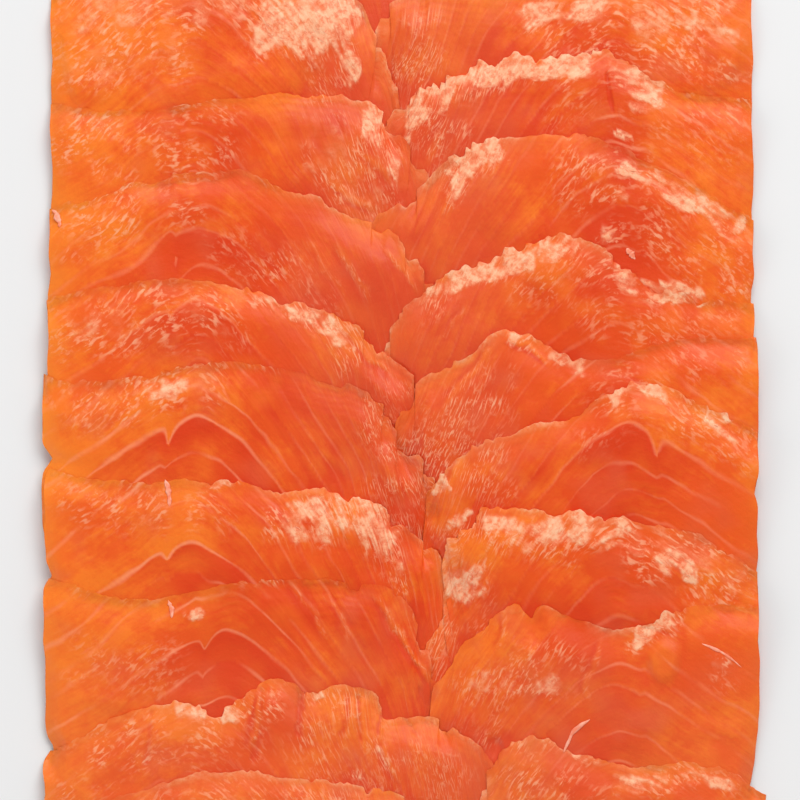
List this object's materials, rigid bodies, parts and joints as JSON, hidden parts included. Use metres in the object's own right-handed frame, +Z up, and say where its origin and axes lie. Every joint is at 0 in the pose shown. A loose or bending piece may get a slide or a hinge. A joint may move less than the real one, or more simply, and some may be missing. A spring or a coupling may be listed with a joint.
{
  "type": "sliced smoked salmon",
  "caption": "Thin cold-smoked salmon slices laid in two columns, overlapping like roof tiles and meeting in the middle.",
  "frame": {"origin": "middle of the pack's footprint, on the surface it lies on", "axes": "+Z up; +Y towards the far end, where the first slices were laid; +X to the right column"},
  "size_m": [0.2038, 0.3314, 0.0119],
  "materials": {
    "salmon_flesh": "moist cold-smoked salmon flesh, translucent orange-red with pale fat lines and a soft wet shine"
  },
  "bodies": {
    "root": {"slice_left_01": "salmon_flesh", "slice_left_02": "salmon_flesh", "slice_left_03": "salmon_flesh", "slice_left_04": "salmon_flesh", "slice_left_05": "salmon_flesh", "slice_left_06": "salmon_flesh", "slice_left_07": "salmon_flesh", "slice_left_08": "salmon_flesh", "slice_left_09": "salmon_flesh", "slice_left_10": "salmon_flesh", "slice_right_01": "salmon_flesh", "slice_right_02": "salmon_flesh", "slice_right_03": "salmon_flesh", "slice_right_04": "salmon_flesh", "slice_right_05": "salmon_flesh", "slice_right_06": "salmon_flesh", "slice_right_07": "salmon_flesh", "slice_right_08": "salmon_flesh", "slice_right_09": "salmon_flesh", "slice_right_10": "salmon_flesh", "slice_right_11": "salmon_flesh"}
  },
  "joints": []
}
